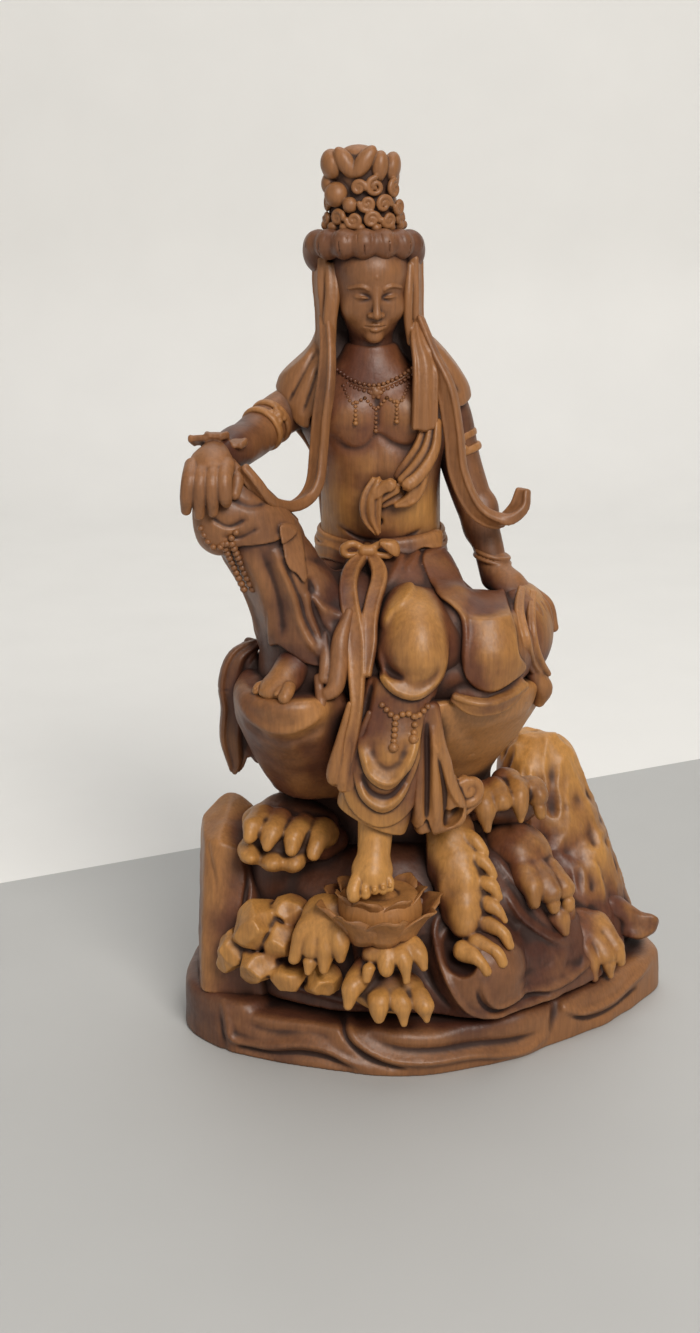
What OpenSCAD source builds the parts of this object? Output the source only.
// Carved boxwood figure, crowned and seated at royal ease on a rock above breaking waves.
// Joined-block carving: every block is carved apart, bedded on its neighbour and pegged with dowels.
// Millimetres. +Z is up, the front faces -Y, and the origin is the middle of the underside.
// "Right" and "left" are the figure's own, so its right side has the lower X.

/* [Base slab] */
// Width of the slab along its long axis
slab_w = 112; // [100:1:124]
// Depth of the slab across its short axis
slab_d = 77; // [70:1:86]
// Height of the slab's flat bed
slab_h = 12; // [9:0.5:16]

/* [Rocks and sea] */
// Height of the flat seat above the slab's bed
seat_h = 74; // [68:1:82]
// Width of the seat at its rim
seat_w = 70; // [66:1:76]
// Depth of the seat at its rim
seat_d = 62; // [58:1:68]
// Width of the seat rock at its neck
seat_neck_w = 52; // [44:1:58]
// Height of the outcrop at the right side, above the bed
outcrop_h = 39; // [30:1:46]
// Height of the crag at the left side, above the bed
crag_h = 49; // [40:1:56]
// Height of the swell in front of the seat rock, above the bed
swell_h = 34; // [28:1:38]
// Thickness of a foam claw at its root
claw_r = 3.4; // [3:0.1:4]

/* [Lotus] */
// Radius of the lotus at its petals
lotus_r = 11.5; // [10:0.5:13]
// Height of the lotus top above the bed
lotus_h = 31; // [26:1:36]
// Number of petals
lotus_petals = 8; // [6:1:12]

/* [Body] */
// How far the figure's axis lies from the slab's middle
body_x = -12; // [-15:0.5:-9]
// Height of the hips and lap above the seat
hip_h = 24; // [21:0.5:28]
// Height of the torso from the waist to the root of the neck
torso_h = 43; // [39:0.5:48]
// Width of the torso at the waist
waist_w = 27; // [24:0.5:29]
// Width of the torso at the shoulders
shoulder_w = 36; // [33:0.5:39]
// Depth of the chest
chest_d = 21; // [19:0.5:23]

/* [Head] */
// Length of the neck
neck_h = 7; // [6:0.5:9]
// Radius of the neck
neck_r = 5; // [4.4:0.1:5.6]
// Height of the head from chin to crown
head_h = 23; // [21:0.5:25]
// Width of the head
head_w = 17.5; // [16:0.5:19]
// Thickness of the rolled hair over the brow, as a radius
roll_r = 3.8; // [3.4:0.1:4.4]
// Number of lobes in the rolled hair
roll_lobes = 11; // [9:2:15]
// Height of the topknot and its crown
topknot_h = 17; // [14:0.5:21]
// Width of the topknot
topknot_w = 17; // [14:0.5:18]

/* [Limbs] */
// Radius of the upper arm
arm_r = 6.2; // [5.6:0.1:6.8]
// Radius of the wrist
wrist_r = 3.8; // [3.4:0.1:4.2]
// Radius of a finger
finger_r = 1.5; // [1.3:0.1:1.7]
// Height of the raised knee above the seat
raised_knee_h = 48; // [44:1:52]
// Radius of the hanging thigh and knee
knee_r = 10.5; // [9.5:0.5:11.5]
// Radius of the trouser leg at its hem
hem_r = 8.6; // [8:0.2:9.4]
// Length of a foot
foot_l = 17; // [15:0.5:19]

/* [Cloth] */
// Half width of a scarf
scarf_w = 3.4; // [2.8:0.1:4]
// Half thickness of a scarf
scarf_t = 1.6; // [1.3:0.1:2]

/* [Dowels] */
// Radius of a dowel
dowel_r = 1.5; // [1.2:0.1:1.8]
// Length of a dowel
dowel_l = 12; // [10:0.5:14]
// Clearance round a dowel in its socket
dowel_fit = 0.05; // [0.02:0.01:0.1]
// Space left at each end of a dowel for glue
glue_gap = 0.4; // [0.2:0.1:0.8]

/* [Hidden] */
boxwood = "#8a5c34";
boxwood_pale = "#b4863f";
boxwood_dark = "#6d4630";
dowel_wood = "#c9a26a";

// How far a cutting form runs past a face that it shares with the piece it cuts
past = 1;
round_fn = 64;
ball_fn = 8;

// Heights of the joint faces, from the ground up
seat_z = slab_h + seat_h;
waist_z = seat_z + hip_h;
neck_z = waist_z + torso_h;
chin_z = neck_z + neck_h;
skull_z = chin_z + head_h;
lotus_z = slab_h + lotus_h;

// Share of the drawn slab size; rocks and foam keep their places on the bed
bed_share_x = slab_w / 112;
bed_share_y = slab_d / 77;

// Places in plan
body_y = 3;
head_x = body_x - 3;
seat_x = body_x + 3;
seat_y = -4;
lotus_x = body_x - 0.5;
lotus_y = -33 * bed_share_y;

// Landmarks of the limbs
right_shoulder = [body_x - shoulder_w / 2, body_y + 1, neck_z - 9];
left_shoulder = [body_x + shoulder_w / 2 - 7, body_y + 2, neck_z - 7];
raised_knee = [body_x - 33, -26, seat_z + raised_knee_h];
right_wrist = raised_knee + [-2, -2, 4];
hanging_knee = [body_x + 6, -26, seat_z + knee_r + 2];
ankle = [lotus_x - 1, lotus_y + 1, lotus_z + 14];
left_wrist = [body_x + 25.5, -1, waist_z - 4];
right_elbow = between(right_shoulder, right_wrist, 0.5) + [-2, 0, -4];
left_elbow = between(left_shoulder, left_wrist, 0.6) + [1, 2, 0];

// Vectors and rings

function unit(v) = v / norm(v);
function flat(rows) = [for (row = rows) for (p = row) p];
function middle(ring) = [for (p = ring) 1] * ring / len(ring);
function place(s) = [s[0], s[1], s[2]];
function between(a, b, t) = a + (b - a) * t;

// A point on the smooth curve through four stations, t of the way from the second to the third
function curve(a, b, c, d, t) =
    0.5 * (2 * b + (c - a) * t + (2 * a - 5 * b + 4 * c - d) * t * t + (3 * b - a - 3 * c + d) * t * t * t);

// The stations with k steps between each two
function smooth(st, k) = let (m = len(st)) concat(
    [for (i = [0:m - 2]) for (j = [0:k - 1])
        curve(st[max(i - 1, 0)], st[i], st[i + 1], st[min(i + 2, m - 1)], j / k)],
    [st[m - 1]]);

// Rings square to the path; a station is [x, y, z, half width along side, half thickness]
function limb_rings(st, n, side) = let (m = len(st)) [for (i = [0:m - 1])
    let (t = unit(place(st[min(i + 1, m - 1)]) - place(st[max(i - 1, 0)])),
         u = unit(side - (side * t) * t), v = cross(t, u))
    [for (j = [0:n - 1]) place(st[i]) + u * st[i][3] * cos(360 * j / n) + v * st[i][4] * sin(360 * j / n)]];

// How rough stone and water swell in and out round a ring, from -1 to 1
function lump(t, z) = (sin(3 * t + 7 * z) + 0.7 * sin(5 * t - 11 * z + 60) + 0.5 * sin(2 * t + 4 * z + 140)) / 2.2;

// Level rings; a station is [x, y, z, half width, half depth]
function stack_rings(st, n, turn, lobes, lobe, rough) = [for (s = st)
    [for (j = [0:n - 1]) let (t = 360 * j / n, m = 1 + lobe * cos(lobes * t) + rough * lump(t, s[2]),
        x = s[3] * m * cos(t), y = s[4] * m * sin(t))
        [s[0] + x * cos(turn) - y * sin(turn), s[1] + x * sin(turn) + y * cos(turn), s[2]]]];

// Solids

module loft(rings) {
    n = len(rings[0]);
    m = len(rings);
    polyhedron(convexity = 8,
        points = concat(flat(rings), [middle(rings[0]), middle(rings[m - 1])]),
        faces = concat(
            [for (i = [0:m - 2]) for (j = [0:n - 1]) [i * n + j, (i + 1) * n + j, i * n + (j + 1) % n]],
            [for (i = [0:m - 2]) for (j = [0:n - 1])
                [(i + 1) * n + j, (i + 1) * n + (j + 1) % n, i * n + (j + 1) % n]],
            [for (j = [0:n - 1]) [m * n, j, (j + 1) % n]],
            [for (j = [0:n - 1]) [m * n + 1, (m - 1) * n + (j + 1) % n, (m - 1) * n + j]]));
}

module limb(st, n = 14, k = 3, side = [1, 0, 0]) loft(limb_rings(smooth(st, k), n, side));

// A stack of level rings; a cutting form is sunk below its first ring
module stack(st, n = 24, k = 3, turn = 0, lobes = 1, lobe = 0, rough = 0, sink = 0) {
    rs = stack_rings(smooth(st, k), n, turn, lobes, lobe, rough);
    loft(concat(sink > 0 ? [[for (p = rs[0]) p - [0, 0, sink]]] : [], rs));
}

module ball(p, r) translate(p) sphere(r = r, $fn = ball_fn);

// A dowel standing on the joint face at p, along the direction that the two angles give
module dowel(p, tilt = 0, heading = 0, slack = 0, ends = 0)
    translate(p) rotate([0, tilt, heading])
        cylinder(r = dowel_r + slack, h = dowel_l + 2 * ends, center = true, $fn = round_fn);

module socket(p, tilt = 0, heading = 0) dowel(p, tilt, heading, dowel_fit, glue_gap);

// A foam crest: a lip of water from a to b that grows out of the rock behind it, and claws that hook down
module crest(a, b, back, fall, claws, r = claw_r) {
    hull() for (p = [a, b]) { ball(p, r * 0.75); ball(p + back, r); }
    for (i = [0:claws - 1]) let (p = between(a, b, i / (claws - 1)), knuckle = p + fall * 0.55 - back * 0.12) {
        hull() { ball(p + back * 0.6 + [0, 0, r * 0.2], r); ball(p, r); }
        hull() { ball(p, r); ball(knuckle, r * 0.8); }
        hull() { ball(knuckle, r * 0.8); ball(p + fall + back * 0.1, r * 0.4); }
    }
}

// Base and rocks

// Outline of the slab on the ground, drawn from its left end round the back
slab_outline = [[56, 8], [50, 23], [34, 33], [8, 38], [-22, 36], [-44, 25], [-55, 6], [-56.5, -14],
                [-44, -28], [-24, -35], [-6, -38.5], [12, -33], [27, -24], [43, -11]];

// The outline as a closed smooth ring at height z, drawn in by a share of its size
function slab_ring(z, share) = let (m = len(slab_outline)) [for (i = [0:m - 1]) for (j = [0:2])
    let (q = curve(slab_outline[(i + m - 1) % m], slab_outline[i], slab_outline[(i + 1) % m],
                   slab_outline[(i + 2) % m], j / 3))
    [q[0] * bed_share_x * share, q[1] * bed_share_y * share, z]];

// Water laps the slab in two broad layers
module slab_form()
    loft([slab_ring(0, 0.97), slab_ring(slab_h * 0.15, 0.99), slab_ring(slab_h * 0.36, 1),
          slab_ring(slab_h * 0.46, 0.97), slab_ring(slab_h * 0.68, 0.978), slab_ring(slab_h * 0.78, 0.945),
          slab_ring(slab_h, 0.93)]);

// A place on the slab's bed at a height above it
function on_bed(x, y, h) = [x * bed_share_x, y * bed_share_y, slab_h + h];
function bed_shift(v) = [v[0] * bed_share_x, v[1] * bed_share_y, v[2]];
function bed_station(x, y, h, a, b) = concat(on_bed(x, y, h), [a * bed_share_x, b * bed_share_y]);

// The seat rock, with the ledge that carries the raised foot
module seat_form(sink = 0) {
    stack([[seat_x + 1, 6, slab_h, seat_neck_w / 2 + 6, 24],
           [seat_x, 6, slab_h + seat_h * 0.25, seat_neck_w / 2 + 3, 22],
           [seat_x - 2, 5, slab_h + seat_h * 0.54, seat_neck_w / 2 - 1, 19.5],
           [seat_x - 3, 3, slab_h + seat_h * 0.68, seat_neck_w / 2 + 1.4, 21.5],
           [seat_x - 2.4, seat_y + 4, slab_h + seat_h * 0.785, seat_neck_w / 2 + 5, 26],
           [seat_x - 0.5, seat_y + 1.5, slab_h + seat_h * 0.9, seat_w / 2 - 0.8, seat_d / 2 - 2],
           [seat_x, seat_y, seat_z, seat_w / 2, seat_d / 2]],
          n = 32, k = 3, rough = 0.035, sink = sink);
    stack([[seat_x - 20, seat_y - 10, slab_h + seat_h * 0.72, 9, 8], [seat_x - 21, seat_y - 16, slab_h + seat_h * 0.84, 12, 12.5],
           [seat_x - 21.5, seat_y - 19, seat_z - 4, 12.8, 14], [seat_x - 21.5, seat_y - 19.5, seat_z - 0.8, 12, 13]],
          n = 20, k = 2);
}

module outcrop_form(sink = 0)
    stack([bed_station(-43, -10, 0, 11, 15), bed_station(-46, -8, outcrop_h * 0.45, 9, 13),
           bed_station(-48, -5, outcrop_h * 0.85, 6.5, 9), bed_station(-48.5, -4, outcrop_h, 3, 5)],
          n = 18, k = 3, rough = 0.07, sink = sink);

module crag_form(sink = 0)
    stack([bed_station(31, 12, 0, 19, 19), bed_station(32, 14, crag_h * 0.3, 14.5, 16),
           bed_station(28, 16, crag_h * 0.7, 12, 11.5), bed_station(26, 17, crag_h * 0.93, 8, 8),
           bed_station(25.6, 17, crag_h, 3.4, 3.6)],
          n = 20, k = 3, rough = 0.08, sink = sink);

module swell_form(sink = 0)
    stack([bed_station(0, -9, 0, 42, 23), bed_station(-2, -9, swell_h * 0.35, 37, 20.5),
           bed_station(-4, -8, swell_h * 0.75, 30, 17), bed_station(-6, -6, swell_h, 24, 12)],
          n = 30, k = 3, turn = 6, rough = 0.06, sink = sink);

module lotus_form()
    stack([[lotus_x, lotus_y + 7, slab_h - past, lotus_r * 0.5, lotus_r * 0.45],
           [lotus_x, lotus_y + 3, lotus_z - 13, lotus_r * 0.5, lotus_r * 0.45],
           [lotus_x, lotus_y, lotus_z - 8, lotus_r * 0.9, lotus_r * 0.85],
           [lotus_x, lotus_y, lotus_z - 4, lotus_r, lotus_r * 0.95],
           [lotus_x, lotus_y, lotus_z, lotus_r * 0.92, lotus_r * 0.86]],
          n = lotus_petals * 4, k = 2, lobes = lotus_petals, lobe = 0.06);

seat_dowel_places = [[seat_x - 14, 8, slab_h], [seat_x + 14, 8, slab_h]];
rock_dowel_places = [on_bed(-44, -9, 0), on_bed(36, 16, 0)];
lotus_dowel_place = [lotus_x, lotus_y + 7, slab_h];

module base_slab() color(boxwood) difference() {
    slab_form();
    for (p = concat(seat_dowel_places, rock_dowel_places, [lotus_dowel_place])) socket(p);
}

module seat_rock() color(boxwood) difference() {
    seat_form();
    for (p = concat(seat_dowel_places, waist_dowel_places)) socket(p);
}

module right_outcrop() color(boxwood) difference() {
    outcrop_form();
    seat_form(past);
    socket(rock_dowel_places[0]);
}

module left_crag() color(boxwood_pale) difference() {
    crag_form();
    seat_form(past);
    socket(rock_dowel_places[1]);
}

module swell() color(boxwood_dark) difference() {
    swell_form();
    seat_form(past);
    outcrop_form(past);
    crag_form(past);
    lotus_form();
}

module lotus_footrest() color(boxwood) difference() {
    lotus_form();
    slab_form();
    socket(lotus_dowel_place);
}

// Foam crests, each bedded on the swell, the slab or a rock

module foam(a, b, back, fall, claws) color(boxwood_pale) difference() {
    crest(a, b, bed_shift(back), bed_shift(fall), claws);
    slab_form();
    swell_form(past);
    seat_form(past);
    outcrop_form(past);
    crag_form(past);
    lotus_form();
}

module foam_upper_right() foam(on_bed(-41, -20, 39), on_bed(-22, -20, 40), [3, 12, -7], [0, -4, -7], 4);
module foam_front_right() foam(on_bed(-46, -23, 19), on_bed(-25, -30, 23), [5, 13, -8], [1, -4, -12], 5);
module foam_front_centre() foam(on_bed(-16.5, -35, 17), on_bed(-2, -34, 17), [1, 12, -6], [0, -4, -11], 4);
module foam_tall_left() foam(on_bed(5, -23, 39), on_bed(12, -29, 17), [-7, 9, -3], [5, -3, -6], 5);
module foam_upper_left() foam(on_bed(12, -11, 45), on_bed(25, -8, 44), [-4, 12, -8], [-1, -4, -7], 4);
module foam_mid_left() foam(on_bed(17, -15, 30), on_bed(30, -12, 26), [-4, 11, -8], [2, -4, -11], 4);
module foam_low_left() foam(on_bed(32, -9, 16), on_bed(43, -6, 9), [-4, 10, -6], [4, -4, -11], 4);
module foam_far_left() foam(on_bed(44, 6, 11), on_bed(51, 12, 4), [-6, 8, -4], [3, -3, -7], 3);

// Body blocks

hip_x = body_x + 6;

module hip_form(sink = 0)
    stack([[hip_x, -5, seat_z, 28, 25], [hip_x, -6, seat_z + hip_h * 0.3, 29, 26],
           [hip_x - 2, -3, seat_z + hip_h * 0.62, 24, 20], [body_x + 1, 1, seat_z + hip_h * 0.86, 17, 13],
           [body_x, body_y, waist_z, waist_w / 2 + 1, chest_d / 2]],
          n = 28, k = 3, rough = 0.015, sink = sink);

module torso_form(sink = 0)
    stack([[body_x, body_y, waist_z, waist_w / 2, chest_d / 2 - 1],
           [body_x - 0.5, body_y - 1, waist_z + torso_h * 0.2, waist_w / 2 - 0.5, chest_d / 2 - 1.5],
           [body_x - 1, body_y - 1, waist_z + torso_h * 0.48, shoulder_w / 2 - 2.5, chest_d / 2],
           [body_x - 1.5, body_y - 0.5, waist_z + torso_h * 0.74, shoulder_w / 2, chest_d / 2],
           [body_x - 2, body_y, waist_z + torso_h * 0.9, shoulder_w / 2 - 2, chest_d / 2 - 1.5],
           [body_x - 2, body_y - 1, neck_z, neck_r + 2, neck_r + 2]],
          n = 24, k = 3, sink = sink);

module head_form(sink = 0)
    stack([[body_x - 2, body_y - 2, neck_z, neck_r, neck_r],
           [head_x + 0.8, body_y - 3, chin_z - neck_h * 0.15, neck_r, neck_r],
           [head_x + 1.2, body_y - 5, chin_z + head_h * 0.04, head_w * 0.32, head_w * 0.4],
           [head_x + 0.8, body_y - 3.5, chin_z + head_h * 0.25, head_w * 0.45, head_w * 0.5],
           [head_x + 0.4, body_y - 2.5, chin_z + head_h * 0.5, head_w * 0.5, head_w * 0.56],
           [head_x, body_y - 2, chin_z + head_h * 0.75, head_w * 0.49, head_w * 0.56],
           [head_x, body_y - 1, skull_z, head_w * 0.36, head_w * 0.4]],
          n = 20, k = 3, sink = sink);

module topknot_form(sink = 0)
    stack([[head_x - 1, body_y, skull_z, topknot_w * 0.49, topknot_w * 0.47],
           [head_x - 1, body_y, skull_z + topknot_h * 0.2, topknot_w * 0.5, topknot_w * 0.48],
           [head_x - 1, body_y, skull_z + topknot_h * 0.42, topknot_w * 0.44, topknot_w * 0.42],
           [head_x - 1.5, body_y, skull_z + topknot_h * 0.68, topknot_w * 0.48, topknot_w * 0.45],
           [head_x - 2, body_y, skull_z + topknot_h * 0.9, topknot_w * 0.38, topknot_w * 0.36],
           [head_x - 2, body_y, skull_z + topknot_h, topknot_w * 0.16, topknot_w * 0.16]],
          n = 24, k = 2, lobes = 6, lobe = 0.05, sink = sink);

// Rolled hair: a lobed roll that runs round the brow from behind one ear to the other
roll_span = 125;
roll_steps = 44;
module roll_form()
    loft(limb_rings([for (i = [0:roll_steps]) let (t = roll_span * (2 * i / roll_steps - 1),
            r = roll_r * (1 + 0.1 * cos(360 * roll_lobes * i / roll_steps)))
            [head_x - 1 + (head_w / 2 + 1) * sin(t), body_y - (head_w / 2 + 0.5) * cos(t),
             skull_z - roll_r - 1 + 1.5 * cos(t), r, r]], 10, [0, 0, 1]));

// Mantle: it falls from under the roll, behind the face, and spreads over the shoulders and the back
module veil_form()
    stack([[body_x, body_y + 4, waist_z + 5, shoulder_w * 0.39, chest_d * 0.42],
           [body_x - 1, body_y + 3, waist_z + torso_h * 0.5, shoulder_w * 0.44, chest_d * 0.5],
           [body_x - 2, body_y + 1, neck_z - 13, shoulder_w * 0.56, chest_d * 0.54],
           [body_x - 2, body_y + 1, neck_z - 7, shoulder_w * 0.59, chest_d * 0.54],
           [body_x - 2.5, body_y + 1, neck_z - 2, shoulder_w * 0.52, chest_d * 0.5],
           [head_x, body_y + 0.5, chin_z - 3, head_w * 0.78, head_w * 0.56],
           [head_x + 0.5, body_y + 0.5, chin_z + head_h * 0.1, head_w * 0.66, head_w * 0.56],
           [head_x - 0.5, body_y + 0.5, skull_z - roll_r * 2, head_w * 0.61, head_w * 0.62]],
          n = 20, k = 2);

// The space in front of the mantle, where the face and the chest show
module veil_opening()
    translate([body_x - 2, body_y - chest_d - 2, 0]) linear_extrude(height = skull_z)
        polygon([[-head_w * 0.52, 0], [head_w * 0.52, 0], [head_w * 0.52, chest_d], [-head_w * 0.52, chest_d]]);

waist_dowel_places = [[body_x - 6, body_y, seat_z], [body_x + 12, body_y, seat_z]];
torso_dowel_place = [body_x, body_y, waist_z];
neck_dowel_place = [body_x - 2, body_y - 1.5, neck_z];
topknot_dowel_place = [head_x - 1, body_y - 0.5, skull_z];
shoulder_dowel_places = [right_shoulder + [3.5, 0, 0], left_shoulder + [-0.5, 0, 0]];

module hip_block() color(boxwood) difference() {
    hip_form();
    for (p = waist_dowel_places) socket(p);
    socket(torso_dowel_place);
}

module torso() color(boxwood) difference() {
    torso_form();
    socket(torso_dowel_place);
    socket(neck_dowel_place);
    for (p = shoulder_dowel_places) socket(p, 90);
}

module head() color(boxwood) difference() {
    head_form();
    socket(neck_dowel_place);
    socket(topknot_dowel_place);
}

module topknot() color(boxwood) difference() {
    topknot_form();
    socket(topknot_dowel_place);
}

module hair_roll() color(boxwood) difference() {
    roll_form();
    head_form();
    topknot_form(past);
}

module veil() color(boxwood) difference() {
    veil_form();
    head_form(past);
    torso_form();
    roll_form();
    veil_opening();
    for (p = shoulder_dowel_places) socket(p, 90);
}

// Arms and hands

module right_arm_form()
    limb([concat(right_shoulder + [3, 0, 0], [arm_r, arm_r]),
          concat(right_shoulder + [-5, -4, -3], [arm_r, arm_r]),
          concat(right_elbow, [arm_r * 0.85, arm_r * 0.85]),
          concat(right_wrist, [wrist_r, wrist_r])],
         n = 14, k = 4, side = [0, 0, 1]);

module left_arm_form()
    limb([concat(left_shoulder + [0, 0, 3], [arm_r * 0.9, arm_r * 0.9]),
          concat(left_shoulder + [3.5, 0.5, -5], [arm_r, arm_r]),
          concat(left_elbow, [arm_r * 0.85, arm_r * 0.85]),
          concat(left_wrist, [wrist_r, wrist_r])],
         n = 14, k = 4);

module right_arm() color(boxwood) difference() {
    right_arm_form();
    torso_form();
    veil_form();
    raised_leg_form(past);
    socket(shoulder_dowel_places[0], 90);
}

module left_arm() color(boxwood) difference() {
    left_arm_form();
    torso_form();
    veil_form();
    hanging_leg_form();
    socket(shoulder_dowel_places[1], 90);
}

// Share of the wrist's radius that the root of a hand fills
wrist_fit = 0.85;

// A hand: its palm from the wrist to the knuckles, four fingers that bend over and hang, and a thumb
module hand(wrist, knuckles, spread, bend, tip, thumb) {
    hull() { ball(wrist, wrist_r * wrist_fit); ball(knuckles - spread / 2, finger_r * 1.2); ball(knuckles + spread / 2, finger_r * 1.2); }
    for (i = [0:3]) let (s = spread * (i / 3 - 0.5)) {
        hull() { ball(knuckles + s, finger_r * 1.15); ball(knuckles + s * 1.15 + bend, finger_r); }
        hull() { ball(knuckles + s * 1.15 + bend, finger_r); ball(knuckles + s * 1.1 + tip, finger_r * 0.7); }
    }
    hull() { ball(between(wrist, knuckles, 0.4) + thumb * 0.4, finger_r * 1.3); ball(knuckles + thumb, finger_r * 0.9); }
}

module right_hand() color(boxwood) difference() {
    hand(right_wrist, right_wrist + [-1, -6, -2], [7, -1, 0], [-0.5, -3, -5], [0.5, -1, -11.5], [6, 0, -5]);
    raised_leg_form(past);
    right_arm_form();
}

module left_hand() color(boxwood) difference() {
    hand(left_wrist, left_wrist + [7, -7, -3.5], [3, 6, 1], [4, -2, -6], [6, -3, -12], [0, -7, -3]);
    hip_form(past);
    left_arm_form();
    left_drape_form();
    hanging_leg_form();
}

// Legs and feet

module raised_leg_form(sink = 0)
    stack([[body_x - 15, -16, seat_z, 17.5, 17], [body_x - 16, -17, seat_z + raised_knee_h * 0.22, 14, 14],
           [body_x - 20.5, -19, seat_z + raised_knee_h * 0.48, 11.6, 12],
           [body_x - 29, -23, seat_z + raised_knee_h * 0.76, 10, 9.5],
           [raised_knee[0] + 1, raised_knee[1] + 1, seat_z + raised_knee_h * 0.93, 7.5, 7],
           [raised_knee[0], raised_knee[1], raised_knee[2], 3.5, 3.5]],
          n = 36, k = 3, lobes = 9, lobe = 0.055, sink = sink);

module hanging_leg_form() {
    limb([concat(hanging_knee + [13, 24, -1], [knee_r, knee_r]), concat(hanging_knee + [5, 10, 0], [knee_r, knee_r]),
          concat(hanging_knee + [0, -1, -0.5], [knee_r * 0.98, knee_r * 0.98]),
          concat(hanging_knee + [-2, -6, -1], [knee_r * 0.8, knee_r * 0.8]),
          concat(hanging_knee + [-2.5, -8.5, -1], [knee_r * 0.35, knee_r * 0.35])],
         n = 18, k = 3);
    stack([concat(place(ankle), [hem_r * 0.7, hem_r * 0.6]), concat(ankle + [0, 0, 6], [hem_r * 1.1, hem_r * 0.9]),
           concat(between(ankle, hanging_knee, 0.5) + [0, -3, 0], [hem_r, hem_r * 0.85]),
           concat(hanging_knee + [-1, -2, -3], [knee_r * 0.85, knee_r * 0.8])],
          n = 18, k = 3);
}

module raised_leg() color(boxwood) difference() {
    raised_leg_form();
    hip_form(past);
    torso_form(past);
}

module hanging_leg() color(boxwood) difference() {
    hanging_leg_form();
    hip_form(past);
    raised_leg_form(past);
    seat_form();
}

// A foot from its ankle to its toes, with the toes side by side
module foot(heel, toe, toe_side) {
    hull() { ball(heel, hem_r * 0.45); ball(between(heel, toe, 0.6) + [0, 0, 1], hem_r * 0.42); }
    for (i = [0:4]) let (s = toe_side * (i / 4 - 0.5))
        hull() { ball(between(heel, toe, 0.6) + s * 0.8, hem_r * 0.28); ball(toe + s, hem_r * (0.2 - i * 0.015)); }
    hull() { ball(heel, hem_r * 0.4); ball(heel + [0, 3, 4], hem_r * 0.4); }
    hull() { ball(between(heel, toe, 0.6), hem_r * 0.42); ball(between(heel, toe, 0.8), hem_r * 0.36); }
}

raised_heel = [body_x - 21.5, -26, seat_z + hem_r * 0.6];
hanging_heel = ankle + [0, -1, -3];

module raised_foot() color(boxwood) difference() {
    foot(raised_heel, raised_heel + [-1.5, -foot_l * 0.75, -1.5], [7, 1, 0]);
    raised_leg_form(past);
    seat_form();
    hip_form(past);
}

module hanging_foot() color(boxwood) difference() {
    foot(hanging_heel, hanging_heel + [-1, -foot_l * 0.5, -8], [8, 0, 0]);
    hanging_leg_form();
    lotus_form();
}

// Scarves, sashes and drapes, bedded on what they lie on

module right_scarf_form()
    limb([[head_x - 9.5, body_y - 4, chin_z, 2, scarf_t], [body_x - 13, body_y - 10, neck_z - 7, scarf_w, scarf_t],
          [body_x - 14, body_y - 11.5, neck_z - 17, scarf_w, scarf_t],
          [body_x - 17, -16, neck_z - 24, scarf_w * 0.9, scarf_t],
          [body_x - 23, -22, raised_knee[2] - 6, scarf_w * 0.9, scarf_t],
          [body_x - 29, -26, raised_knee[2] - 0.5, scarf_w * 0.9, scarf_t]],
         n = 10, k = 4, side = [0.7, -0.7, 0]);

module right_scarf() color(boxwood) difference() {
    right_scarf_form();
    torso_form(past);
    head_form(past);
    veil_form();
    raised_leg_form(past);
}

module left_scarf_form()
    limb([[head_x + 10, body_y - 4, chin_z, 2, scarf_t], [body_x + 11, body_y - 9.5, neck_z - 4, scarf_w, scarf_t],
          [body_x + 14.5, body_y - 10, neck_z - 14, scarf_w, scarf_t],
          [body_x + 17, body_y - 9.5, neck_z - 23, scarf_w, scarf_t],
          [body_x + 21, body_y - 9, neck_z - 30, scarf_w, scarf_t],
          [body_x + 27, body_y - 9, neck_z - 32, scarf_w * 1.1, scarf_t],
          [body_x + 31, body_y - 8, neck_z - 28.5, scarf_w * 1.2, scarf_t]],
         n = 10, k = 4, side = [0.5, -0.8, 0.2]);

module left_scarf() color(boxwood) difference() {
    left_scarf_form();
    torso_form(past);
    head_form(past);
    veil_form();
    left_arm_form();
}

module chest_sash() color(boxwood) difference() {
    limb([[body_x + 9.5, body_y - 9, neck_z - 12, scarf_w * 0.8, scarf_t * 1.2],
          [body_x + 9, body_y - 10.5, neck_z - 19, scarf_w * 1.1, scarf_t * 1.2],
          [body_x + 3, body_y - 11, waist_z + 15, scarf_w * 1.2, scarf_t * 1.2],
          [body_x - 3, body_y - 10.5, waist_z + 9, scarf_w * 1.1, scarf_t * 1.2]],
         n = 10, k = 4, side = [0.8, 0, 0.6]);
    torso_form(past);
    veil_form();
    left_scarf_form();
}

// The belt is a band round the waist joint, with a bow in front
belt_h = 3;
module waist_sash_form() {
    stack([[body_x, body_y, waist_z - belt_h, waist_w / 2 + 3, chest_d / 2 + 2],
           [body_x, body_y, waist_z, waist_w / 2 + 3.5, chest_d / 2 + 2.5],
           [body_x, body_y, waist_z + belt_h, waist_w / 2 + 2, chest_d / 2 + 1.5]], n = 28, k = 2);
    for (side = [-1, 1])
        limb([[body_x - 3, body_y - chest_d / 2 - 2, waist_z, 1.5, 1.5],
              [body_x - 3 + side * 4, body_y - chest_d / 2 - 3, waist_z + 1.5, 2.4, 1.8],
              [body_x - 3 + side * 6, body_y - chest_d / 2 - 2, waist_z, 2, 1.6]], n = 10, k = 2, side = [0, 0, 1]);
}

module waist_sash() color(boxwood) difference() {
    waist_sash_form();
    torso_form(past);
    hip_form();
    raised_leg_form(past);
}

// How far the sash tails hang below the seat: a share of the way to the ankle
tail_drop = (seat_z - ankle[2]) * 0.45;

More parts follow.
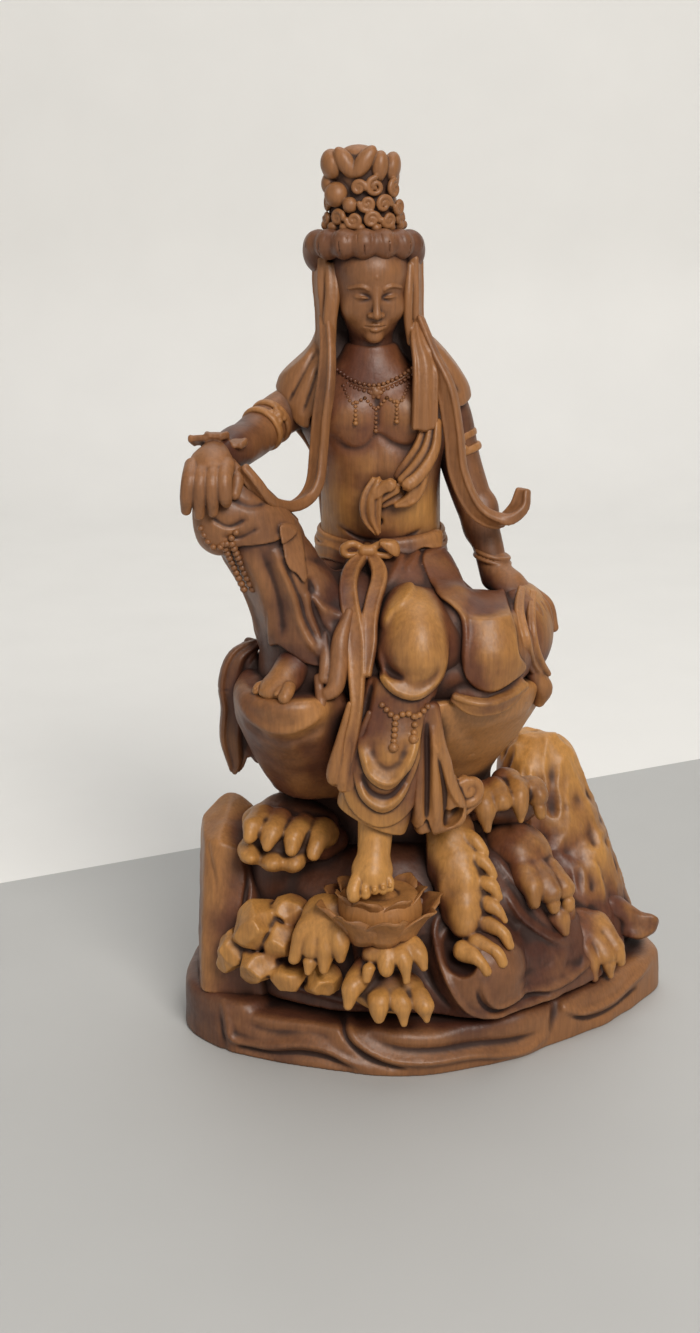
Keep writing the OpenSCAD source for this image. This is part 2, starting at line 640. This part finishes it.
module sash_tails() color(boxwood) difference() {
    for (side = [-1, 1])
        limb([[body_x - 4 + side * 1.5, body_y - chest_d / 2 - 3, waist_z - 5, scarf_w * 0.7, scarf_t],
              [body_x - 4.5 + side * 2.2, -24, seat_z + hip_h * 0.62, scarf_w * 0.8, scarf_t],
              [body_x - 5.5 + side * 2.5, -32, seat_z + hip_h * 0.2, scarf_w * 0.9, scarf_t * 1.2],
              [body_x - 7 + side * 2.5, seat_y - seat_d / 2 - 2, seat_z - tail_drop / 2, scarf_w, scarf_t * 1.2],
              [body_x - 8 + side * 2.5, seat_y - seat_d / 2, seat_z - tail_drop, scarf_w, scarf_t * 1.2]],
             n = 10, k = 3);
    hip_form(past);
    raised_leg_form(past);
    hanging_leg_form();
    seat_form();
    waist_sash_form();
}

module right_drape() color(boxwood) difference() {
    limb([[seat_x - seat_w / 2 + 3, -13, seat_z + 5, 5, 2.4], [seat_x - seat_w / 2 - 1.5, -13, seat_z - 3, 5.5, 2.6],
          [seat_x - seat_w / 2 - 1, -11, seat_z - 14, 5, 2.6], [seat_x - seat_w / 2 + 1, -9, seat_z - 24, 3, 2]],
         n = 12, k = 3, side = [0, 1, 0]);
    seat_form();
    raised_leg_form(past);
}

module left_drape_form()
    limb([[hip_x + 17, -10, seat_z + 16, 7, 2.6], [hip_x + 24.5, -9, seat_z + 11, 8, 2.8],
          [hip_x + 29.5, -8, seat_z + 3, 8, 2.8], [hip_x + 28.5, -8, seat_z - 6, 6, 2.6]],
         n = 12, k = 3, side = [0, 1, 0]);

module left_drape() color(boxwood) difference() {
    left_drape_form();
    hip_form(past);
    seat_form();
    hanging_leg_form();
}

// Space between the end of the sash tails and the cloth below them
hem_gap = 2.5;

// Cloth that falls in zigzag folds at each side of the hanging shin: a station at a share of the way up
// from the ankle to the cloth's top
function hem_station(x, y, top, share, a, b) = [ankle[0] + x, y, ankle[2] + (top - ankle[2]) * share, a, b];
right_hem_top = seat_z - tail_drop - hem_gap;
left_hem_top = seat_z - 4;

module right_hem() color(boxwood) difference() {
    limb([hem_station(-7, -34.5, right_hem_top, 1, 3.5, 3), hem_station(-8, -35, right_hem_top, 0.76, 4.5, 3.4),
          hem_station(-8.5, -34.5, right_hem_top, 0.52, 5, 3.6), hem_station(-8, -34, right_hem_top, 0.15, 2.6, 2.4)],
         n = 12, k = 3);
    hanging_leg_form();
    seat_form();
}

module left_hem() color(boxwood) difference() {
    limb([hem_station(14, -31, left_hem_top, 1, 4, 3), hem_station(15, -31, left_hem_top, 0.6, 6, 4),
          hem_station(17, -28, left_hem_top, 0.28, 7, 5), hem_station(17.5, -26, left_hem_top, 0.04, 4, 3.4)],
         n = 12, k = 3);
    hanging_leg_form();
    seat_form();
}

// Jewels

// A ring worn on an arm at a share of the way from one landmark to the next
module armlet(a, b, t, r) {
    way = unit(b - a);
    limb([for (s = [-1, 0, 1]) concat(between(a, b, t) + way * s * 2, [r - abs(s) * 0.4, r - abs(s) * 0.4])],
         n = 16, k = 2, side = abs(way[2]) > 0.7 ? [1, 0, 0] : [0, 0, 1]);
}

module right_armlet() color(boxwood) difference() {
    armlet(right_shoulder + [-5, -4, -3], right_elbow, 0.45, arm_r + 0.9);
    right_arm_form();
    veil_form();
}

module left_armlet() color(boxwood) difference() {
    armlet(left_shoulder + [3.5, 0.5, -5], left_elbow, 0.4, arm_r + 0.9);
    left_arm_form();
    left_scarf_form();
    veil_form();
    torso_form();
}

module necklace() color(boxwood) difference() {
    stack([[body_x - 2, body_y - 3, neck_z - 6.5, 8.6, 8.6], [body_x - 2, body_y - 3, neck_z - 3.5, 8.6, 8.2],
           [body_x - 2, body_y - 2.5, neck_z - 1.5, 8, 7]], n = 24, k = 2);
    torso_form();
    head_form(past);
    right_scarf_form();
    left_scarf_form();
}

// Dowels

module neck_dowel() color(dowel_wood) dowel(neck_dowel_place);
module topknot_dowel() color(dowel_wood) dowel(topknot_dowel_place);
module shoulder_dowels() color(dowel_wood) for (p = shoulder_dowel_places) dowel(p, 90);
module waist_dowels() color(dowel_wood) for (p = concat(waist_dowel_places, [torso_dowel_place])) dowel(p);
module seat_dowels() color(dowel_wood) for (p = seat_dowel_places) dowel(p);
module rock_dowels() color(dowel_wood) for (p = rock_dowel_places) dowel(p);
module lotus_dowel() color(dowel_wood) dowel(lotus_dowel_place);

base_slab();
left_crag();
right_outcrop();
seat_rock();
swell();
lotus_footrest();
foam_upper_right();
foam_front_right();
foam_front_centre();
foam_tall_left();
foam_upper_left();
foam_mid_left();
foam_low_left();
foam_far_left();
hip_block();
torso();
head();
hair_roll();
topknot();
veil();
right_arm();
right_hand();
left_arm();
left_hand();
raised_leg();
raised_foot();
hanging_leg();
hanging_foot();
right_scarf();
left_scarf();
chest_sash();
waist_sash();
sash_tails();
right_drape();
left_drape();
right_hem();
left_hem();
right_armlet();
left_armlet();
necklace();
neck_dowel();
topknot_dowel();
shoulder_dowels();
waist_dowels();
seat_dowels();
rock_dowels();
lotus_dowel();
